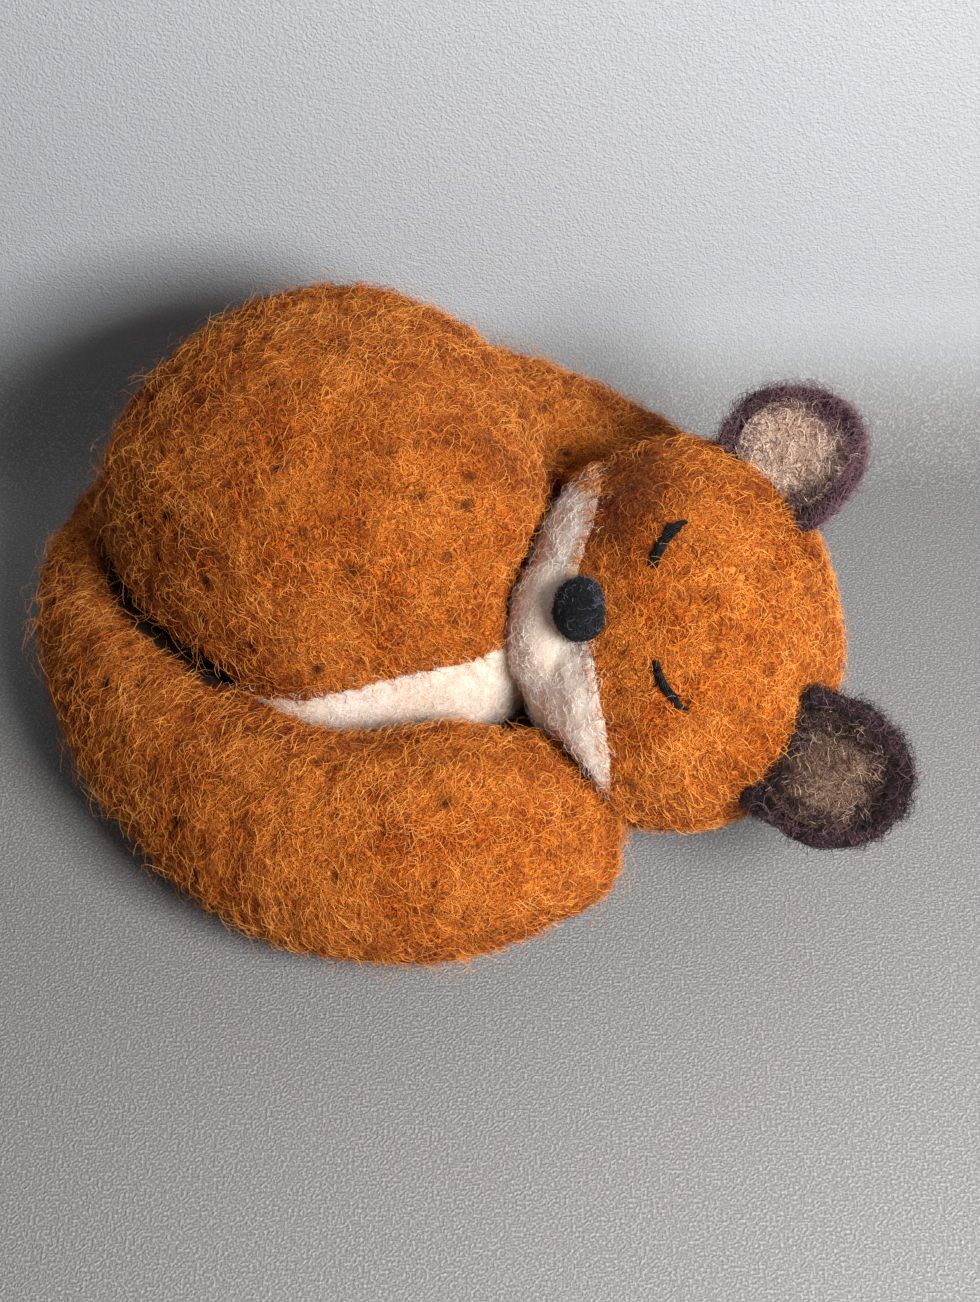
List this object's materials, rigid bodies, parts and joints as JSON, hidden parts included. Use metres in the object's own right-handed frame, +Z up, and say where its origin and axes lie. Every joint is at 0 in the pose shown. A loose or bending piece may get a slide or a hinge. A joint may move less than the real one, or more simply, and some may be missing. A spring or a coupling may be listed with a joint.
{
  "type": "felt fox toy",
  "caption": "Curled-up sleeping fox needle-felted from wool, its brush wrapped round the front and its head resting on the tip; head, tail and ears give softly at their felted roots.",
  "frame": {"origin": "on the table, under the middle of the fox's outer box", "axes": "+Z up; +X from the tail's root towards the head and ears; the belly and the face are on the -Y side"},
  "size_m": [0.16, 0.133, 0.0755],
  "materials": {
    "ginger_wool": "fuzzy needle-felted wool, ginger with golden and dark brown fibres",
    "cream_wool": "fine needle-felted wool, cream",
    "plum_wool": "loose dark plum-brown wool",
    "taupe_wool": "short taupe wool",
    "black_wool": "firm black wool",
    "core_wool": "undyed core wool"
  },
  "bodies": {
    "torso": {"body_core": "core_wool", "body_coat": "ginger_wool", "belly_patch": "cream_wool"},
    "tail": {"tail_core": "core_wool", "tail_coat": "ginger_wool"},
    "head": {"head_core": "core_wool", "head_coat": "ginger_wool", "muzzle": "cream_wool", "cheek_near": "cream_wool", "cheek_far": "cream_wool", "nose": "black_wool", "eye_near": "black_wool", "eye_far": "black_wool"},
    "ear_near": {"ear_near": "plum_wool", "ear_near_lining": "taupe_wool"},
    "ear_far": {"ear_far": "plum_wool", "ear_far_lining": "taupe_wool"}
  },
  "joints": [
    {"name": "head_lift", "type": "hinge", "parent": "torso", "child": "head", "pos_m": [0.04296, 0.0255, 0.036], "axis": [-1, 0, 0], "range_deg": [0, 10], "stiffness_Nm_per_rad": 0.15},
    {"name": "tail_swing", "type": "hinge", "parent": "torso", "child": "tail", "pos_m": [-0.05504, 0.0405, 0], "axis": [0, 0, -1], "range_deg": [0, 5], "stiffness_Nm_per_rad": 0.1},
    {"name": "ear_near_bend", "type": "hinge", "parent": "head", "child": "ear_near", "pos_m": [0.05629, -0.03692, 0.03638], "axis": [-0.3752, -0.6648, -0.6459], "range_deg": [-12, 12], "stiffness_Nm_per_rad": 0.005},
    {"name": "ear_far_bend", "type": "hinge", "parent": "head", "child": "ear_far", "pos_m": [0.05629, 0.00009, 0.05951], "axis": [-0.7124, 0.6819, 0.1659], "range_deg": [-12, 12], "stiffness_Nm_per_rad": 0.005}
  ]
}
